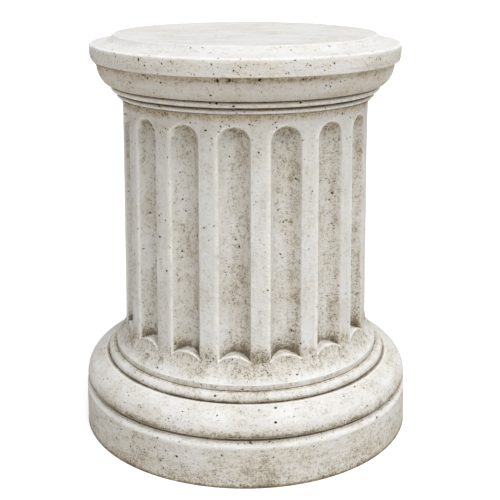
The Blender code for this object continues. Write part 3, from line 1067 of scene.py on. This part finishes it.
# On the flute rims this painted highlight spreads to the next points, so that it is wide enough to
# show.
rims = (points[:, 2] > RIM_START) & (points[:, 2] < FLUTE_HEAD)
rim = np.where(rims & (wear_and_highlight > RIM_HIGHLIGHT_START), wear_and_highlight, 0.0)
short = length < WIDEST_RUB
for end, other in ((near_end, far_end), (far_end, near_end)):
    np.maximum.at(wear_and_highlight, end[short], RIM_HIGHLIGHT_SPREAD * rim[other[short]])
# The fronts of the astragals, in the shade of the slab, get painted light.
on_astragals = (points[:, 2] > NECK_TOP) & (points[:, 2] < UPPER_ASTRAGAL_TOP)
wear_and_highlight[on_astragals] = np.minimum(1.0, ASTRAGAL_LIGHT * wear_and_highlight[on_astragals])
# The rims of the round flute heads: wear, and a painted highlight.
round_heads = (points[:, 2] > SPRING) & (points[:, 2] < FLUTE_HEAD + 3)
wear_and_highlight[round_heads] = np.minimum(1.0, HEAD_WEAR_AND_HIGHLIGHT * wear_and_highlight[round_heads])
keep("wear_and_highlight", "POINT", wear_and_highlight)
print("worn points:", int((wear_and_highlight > 0.5).sum()))

# %% One material slot and smooth shading
SHARP_ANGLE = math.radians(48)

carved.polygons.foreach_set("material_index", [0] * len(carved.polygons))
carved.materials.clear()
carved.shade_smooth()
carved.set_sharp_from_angle(angle=SHARP_ANGLE)

# %% [markdown]
# ## The stone
# Cast limestone is matt and chalky, off-white where it is clean. Its colours are written as the
# hex values that a paint chart uses, and one function turns them into the linear light that the
# shader works in. Another adds a node with its settings and links in one line.

# %% Colour and node helpers


def linear(code):
    """Linear RGBA from a six digit sRGB hex code."""
    values = [int(code[start:start + 2], 16) / 255 for start in (0, 2, 4)]
    light = [value / 12.92 if value <= 0.04045 else ((value + 0.055) / 1.055) ** 2.4
             for value in values]
    return (*light, 1.0)


def add(kind, settings=None, inputs=None):
    """Add a node to the stone; inputs are values or links by socket name or number."""
    node = stone_nodes.nodes.new(kind)
    for name, value in (settings or {}).items():
        setattr(node, name, value)
    for key, value in (inputs or {}).items():
        socket = node.inputs[key]
        if isinstance(value, bpy.types.NodeSocket):
            stone_nodes.links.new(value, socket)
        else:
            socket.default_value = value
    return node


# %% Cast limestone: vibrated into a mould, so it is matt, fine grained and pitted
CLEAN = "D8D8D8"
WARM = "D3D2CF"
WASHED = "DFDFDE"
# The worn edge colour is rubbed stone and also a painted highlight.
WORN_EDGE_AND_HIGHLIGHT = "F2EFE8"
TROWEL_MARK = "B3B2B0"
STAIN = "BCB29E"
TAN_STAIN = "CCB995"
EARTH = "7B6E54"
GREY_DIRT = "6E685A"
GROOVE_DIRT = "4F432F"
PORE_DIRT = "382B1C"
FRACTURE = "DAD9D6"

limestone = bpy.data.materials.new("weathered cast limestone")
limestone.use_nodes = True
stone_nodes = limestone.node_tree
stone_nodes.nodes.clear()
stone_place = add("ShaderNodeTexCoord").outputs["Object"]


def pattern(size_mm, detail=3.0, roughness=0.55, distortion=0.0, vector=None):
    """A noise pattern whose blotches are about size_mm across, from 0 to 1 round 0.5."""
    return add("ShaderNodeTexNoise", None,
               {"Vector": vector or stone_place, "Scale": 1 / (size_mm * MM), "Detail": detail,
                "Roughness": roughness, "Distortion": distortion}).outputs["Fac"]


def stretch(value, low, high):
    """Stretch a value so that low becomes 0 and high becomes 1, clamped."""
    return add("ShaderNodeMapRange", {"clamp": True},
               {"Value": value, "From Min": low, "From Max": high}).outputs["Result"]


def blend(share, under, over):
    """Colour under, covered by over where share is 1."""
    return add("ShaderNodeMix", {"data_type": "RGBA"}, {0: share, 6: under, 7: over}).outputs[2]


def times(first, second):
    return add("ShaderNodeMath", {"operation": "MULTIPLY"}, {0: first, 1: second}).outputs[0]


def plus(first, second):
    return add("ShaderNodeMath", {"operation": "ADD"}, {0: first, 1: second}).outputs[0]


def swing(value, amount):
    """A pattern as a push up and down round zero, amount strong."""
    return add("ShaderNodeMath", {"operation": "MULTIPLY_ADD"},
               {0: value, 1: amount, 2: -0.5 * amount}).outputs[0]


def stored(name):
    return add("ShaderNodeAttribute", {"attribute_name": name}).outputs["Fac"]


# %% Its patterns, from hand-sized stains down to grains of sand
broad = pattern(46.0)
patch = pattern(13.0, detail=4.0, roughness=0.6, distortion=0.4)
speck = pattern(3.4, detail=5.0, roughness=0.7, distortion=0.3)
sand = pattern(1.6, detail=3.0, roughness=0.7)
mottle = pattern(6.5, detail=3.0, roughness=0.6, distortion=0.8)


def stretched(x, y, z):
    return add("ShaderNodeMapping", None, {"Vector": stone_place, "Scale": (x, y, z)}).outputs[0]


runs = pattern(6.0, detail=4.0, roughness=0.6, vector=stretched(1.0, 1.0, 0.16))
bands = pattern(5.0, detail=4.0, roughness=0.6, vector=stretched(0.14, 0.14, 1.0))
trowelled = pattern(4.5, detail=4.0, roughness=0.65, vector=stretched(0.1, 1.0, 1.0))
upright = stored("upright")
streak = plus(times(upright, swing(runs, 1.0)),
              times(plus(1.0, times(upright, -1.0)), swing(bands, 1.0)))


def spots(cell_mm, level, most):
    """Round dark spots, at most one in each cell; level makes them bigger and more."""
    cells = add("ShaderNodeTexVoronoi", {"feature": "F1"},
                {"Vector": stone_place, "Scale": 1 / (cell_mm * MM)})
    luck = add("ShaderNodeSeparateColor", None, {0: cells.outputs["Color"]}).outputs[0]
    size = times(stretch(plus(luck, times(level, 0.5)), 0.82, 1.22), most)
    return stretch(plus(size, times(cells.outputs["Distance"], -1.0)), 0.0, 0.09)


# %% Dirt and painted shade: how much of them there is, and how broken up
wear_and_highlight = stored("wear_and_highlight")
level = plus(stored("grime_and_shade"), plus(swing(broad, 0.6), swing(patch, 0.6)))
level = plus(level, plus(times(streak, 0.6), times(wear_and_highlight, -0.35)))
broken = plus(level, plus(swing(mottle, 0.8), plus(swing(speck, 1.6), swing(sand, 2.4))))
tint = stretch(plus(level, plus(swing(mottle, 0.4), swing(speck, 0.5))), 0.0, 0.8)
cover = stretch(broken, 0.42, 0.84)
deep = stretch(plus(level, swing(speck, 0.5)), 0.66, 1.1)
crowd = plus(level, times(stored("spotted"), 0.8))
dots = plus(spots(4.2, crowd, 0.2), plus(spots(2.6, crowd, 0.4), spots(6.0, 0.5, 0.13)))
dots = stretch(dots, 0.0, 1.0)
rubbed_and_lit = times(wear_and_highlight, stretch(plus(patch, plus(swing(speck, 1.4), swing(sand, 1.2))), 0.28, 0.56))

# %% Its colour: clean stone first, then each layer of dirt and painted shade over it, and the painted highlight of worn edges
clean = blend(stretch(broad, 0.38, 0.62), linear(CLEAN), linear(WARM))
washed_share = stretch(plus(swing(patch, 1.0), swing(sand, 1.2)), 0.02, 0.2)
clean = blend(times(washed_share, 0.7), clean, linear(WASHED))
streaked = stretch(plus(streak, plus(swing(speck, 1.2), swing(sand, 1.2))), 0.02, 0.5)
clean = blend(times(streaked, 0.6), clean, linear(TROWEL_MARK))
trowel_share = times(stored("trowel"), stretch(trowelled, 0.5, 0.74))
clean = blend(times(trowel_share, 0.6), clean, linear(TROWEL_MARK))
soil = blend(stretch(pattern(30.0), 0.4, 0.62), linear(EARTH), linear(GREY_DIRT))
stained = blend(stored("dripped"), linear(STAIN), linear(TAN_STAIN))
# The stain, the soil and the deep dirt follow the grime attribute, so they paint shade as well as
# dirt.
colour = blend(times(tint, 0.85), clean, stained)
colour = blend(times(cover, 0.68), colour, soil)
colour = blend(times(deep, 0.8), colour, linear(GROOVE_DIRT))
# Worn edges: paler rubbed stone, with a painted highlight on edges that face the sun.
colour = blend(times(rubbed_and_lit, 0.9), colour, linear(WORN_EDGE_AND_HIGHLIGHT))
colour = blend(times(dots, 0.74), colour, linear(GROOVE_DIRT))
colour = blend(times(stored("pore"), 0.85), colour, linear(PORE_DIRT))
colour = blend(times(stored("chip"), 0.4), colour, linear(FRACTURE))

# %% Its relief and its shader
relief = plus(swing(sand, 0.7), swing(speck, 1.6))
relief = plus(relief, plus(swing(patch, 0.8), times(dots, -0.6)))
relief = plus(relief, times(streak, 0.8))
bump = add("ShaderNodeBump", None, {"Height": relief, "Strength": 0.65, "Distance": 0.0011})
shader = add("ShaderNodeBsdfPrincipled", None,
             {"Base Color": colour, "Roughness": 0.92, "IOR": 1.5,
              "Normal": bump.outputs["Normal"]})
add("ShaderNodeOutputMaterial", None, {"Surface": shader.outputs["BSDF"]})
carved.materials.append(limestone)

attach(pedestal, "root")
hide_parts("pedestal")

# %% [markdown]
# ## Floor, light and camera
# The pedestal is seen in soft, even light against white. A wide, veiled sun stands above it and
# a little to the right, under a pale sky. Below the horizon the world is brighter and slightly
# cream, like light thrown back by a sunny stone terrace, and this is what warms the undersides.
# The pale floor is backlit, so that hardly any shadow shows on it, and it doesn't light the
# stone, because the world does that more evenly.

# %% Floor
FLOOR_SIZE = 200.0
TABLE_GREY = "CFCFCF"
BACKLIGHT = 0.47

floor_mesh = bmesh.new()
bmesh.ops.create_grid(floor_mesh, x_segments=1, y_segments=1, size=FLOOR_SIZE / 2)
floor_data = bpy.data.meshes.new("floor")
floor_mesh.to_mesh(floor_data)
floor_mesh.free()
floor = bpy.data.objects.new("floor", floor_data)
bpy.context.scene.collection.objects.link(floor)
table = bpy.data.materials.new("backlit matt white acrylic")
table.use_nodes = True
table_shader = table.node_tree.nodes["Principled BSDF"]
table_shader.inputs["Base Color"].default_value = linear(TABLE_GREY)
table_shader.inputs["Roughness"].default_value = 0.95
table_shader.inputs["Emission Color"].default_value = linear("FFFFFF")
table_shader.inputs["Emission Strength"].default_value = BACKLIGHT
floor_data.materials.append(table)
floor.visible_diffuse = False

# %% Light
SKY_STRENGTH = 0.45
GROUND_STRENGTH = 0.88
GROUND_COLOUR = "FFF9EE"
SUN_STRENGTH = 3.05
SUN_SOFTNESS = math.radians(50)
SUN_FROM = (0.23, -0.48, 1.0)

world = bpy.data.worlds.new("soft sky over pale ground")
bpy.context.scene.world = world
world.use_nodes = True
world_nodes = world.node_tree.nodes
world_links = world.node_tree.links
direction = world_nodes.new("ShaderNodeTexCoord")
split = world_nodes.new("ShaderNodeSeparateXYZ")
above_horizon = world_nodes.new("ShaderNodeMapRange")
above_horizon.inputs["From Min"].default_value = -0.1
above_horizon.inputs["From Max"].default_value = 0.1
sky_mix = world_nodes.new("ShaderNodeMix")
sky_mix.data_type = "RGBA"
sky_mix.inputs[6].default_value = [GROUND_STRENGTH * value for value in linear(GROUND_COLOUR)]
sky_mix.inputs[7].default_value = [SKY_STRENGTH * value for value in linear("FFFFFF")]
world_links.new(direction.outputs["Generated"], split.inputs[0])
world_links.new(split.outputs["Z"], above_horizon.inputs["Value"])
world_links.new(above_horizon.outputs["Result"], sky_mix.inputs[0])
world_links.new(sky_mix.outputs[2], world_nodes["Background"].inputs["Color"])

sun = bpy.data.lights.new("veiled_sun", "SUN")
sun.energy = SUN_STRENGTH
sun.angle = SUN_SOFTNESS
lamp = bpy.data.objects.new("veiled_sun", sun)
lamp.rotation_euler = (-Vector(SUN_FROM)).to_track_quat("-Z", "Y").to_euler()
bpy.context.scene.collection.objects.link(lamp)

# %% Camera
PHOTO_SIZE = 500
FOCAL_PIXELS = 956.0
SENSOR = 36.0
CAMERA_PLACE = (0.0047, -0.9993, 0.5106)
CAMERA_PITCH = math.radians(17.89)

camera_data = bpy.data.cameras.new("camera")
camera_data.sensor_width = SENSOR
camera_data.lens = FOCAL_PIXELS / PHOTO_SIZE * SENSOR
camera = bpy.data.objects.new("camera", camera_data)
camera.location = CAMERA_PLACE
camera.rotation_euler = (math.radians(90) - CAMERA_PITCH, 0.0, 0.0)
bpy.context.scene.collection.objects.link(camera)
bpy.context.scene.camera = camera
bpy.context.scene.view_settings.view_transform = "Standard"
